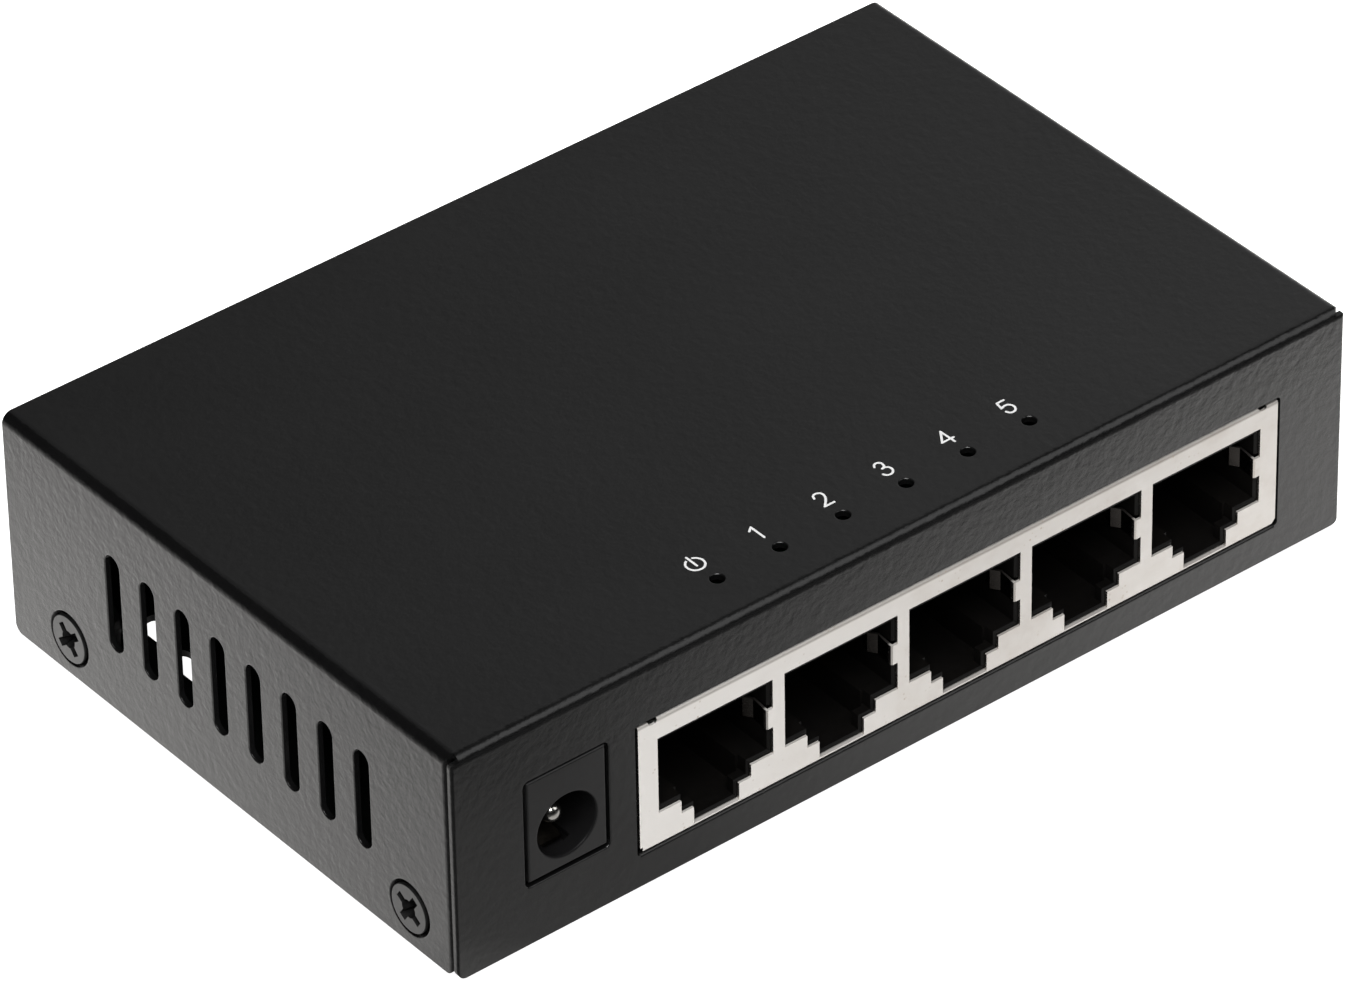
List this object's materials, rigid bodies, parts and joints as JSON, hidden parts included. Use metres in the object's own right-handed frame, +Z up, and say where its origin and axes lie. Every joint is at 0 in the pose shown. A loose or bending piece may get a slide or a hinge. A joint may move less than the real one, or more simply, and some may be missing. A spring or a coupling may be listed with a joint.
{
  "type": "desktop network switch",
  "caption": "Small black metal desktop network switch with a row of ganged shielded RJ45 sockets and a barrel power socket on the front, slotted sides and rubber feet.",
  "frame": {"origin": "centre of the footprint, on the plane the feet stand on", "axes": "+X runs right along the port face as seen from the front, -Y is the way the ports face, +Z is up"},
  "size_m": [0.1004, 0.0638, 0.0248],
  "materials": {
    "black_paint": "satin",
    "black_paint_base": "satin",
    "black_screws": "satin",
    "black_rubber": "matte",
    "circuit_board": "satin",
    "nickel": "gloss",
    "shield": "satin",
    "black_plastic": "matte",
    "jack_plastic": "satin",
    "gold": "gloss",
    "led_body": "gloss",
    "chip_epoxy": "matte",
    "thermal_pad": "matte",
    "heat_sink": "satin",
    "capacitor_can": "satin",
    "capacitor_ceramic": "satin",
    "white_ink": "matte"
  },
  "bodies": {
    "root": {"top_cover": "black_paint", "base_tray": "black_paint_base", "cover_screws": "black_screws", "rubber_feet": "black_rubber", "pcb": "circuit_board", "pcb_standoffs": "nickel", "pcb_screws": "nickel", "rj45_front_shell": "shield", "rj45_rear_shell": "shield", "rj45_housing": "black_plastic", "rj45_contact_carriers": "black_plastic", "rj45_contact_tails": "gold", "dc_jack_housing": "jack_plastic", "dc_jack_pin": "nickel", "dc_jack_terminals": "nickel", "status_leds": "led_body", "switch_chip": "chip_epoxy", "switch_chip_leads": "nickel", "thermal_pad": "thermal_pad", "heat_sink": "heat_sink", "lan_transformers": "chip_epoxy", "electrolytic_capacitors": "capacitor_can", "power_inductor": "chip_epoxy", "crystal": "capacitor_can", "buck_regulator": "chip_epoxy", "flash_memory": "chip_epoxy", "input_diode": "chip_epoxy", "smd_capacitors": "capacitor_ceramic", "smd_resistors": "chip_epoxy"},
    "port_1_contacts": {"port_1_contacts": "gold"},
    "port_2_contacts": {"port_2_contacts": "gold"},
    "port_3_contacts": {"port_3_contacts": "gold"},
    "port_4_contacts": {"port_4_contacts": "gold"},
    "port_5_contacts": {"port_5_contacts": "gold"},
    "dc_jack_spring": {"dc_jack_spring": "nickel"}
  },
  "joints": [
    {"name": "port_1_contact_flex", "type": "hinge", "parent": "root", "child": "port_1_contacts", "pos_m": [-0.02185, -0.0296, 0.0165], "axis": [1, 0, 0], "range_deg": [0, 12], "stiffness_Nm_per_rad": 0.25},
    {"name": "port_2_contact_flex", "type": "hinge", "parent": "root", "child": "port_2_contacts", "pos_m": [-0.00788, -0.0296, 0.0165], "axis": [1, 0, 0], "range_deg": [0, 12], "stiffness_Nm_per_rad": 0.25},
    {"name": "port_3_contact_flex", "type": "hinge", "parent": "root", "child": "port_3_contacts", "pos_m": [0.00609, -0.0296, 0.0165], "axis": [1, 0, 0], "range_deg": [0, 12], "stiffness_Nm_per_rad": 0.25},
    {"name": "port_4_contact_flex", "type": "hinge", "parent": "root", "child": "port_4_contacts", "pos_m": [0.02006, -0.0296, 0.0165], "axis": [1, 0, 0], "range_deg": [0, 12], "stiffness_Nm_per_rad": 0.25},
    {"name": "port_5_contact_flex", "type": "hinge", "parent": "root", "child": "port_5_contacts", "pos_m": [0.03403, -0.0296, 0.0165], "axis": [1, 0, 0], "range_deg": [0, 12], "stiffness_Nm_per_rad": 0.25},
    {"name": "dc_jack_leaf_flex", "type": "hinge", "parent": "root", "child": "dc_jack_spring", "pos_m": [-0.03805, -0.0194, 0.00812], "axis": [1, 0, 0], "range_deg": [0, 2], "stiffness_Nm_per_rad": 0.5}
  ]
}
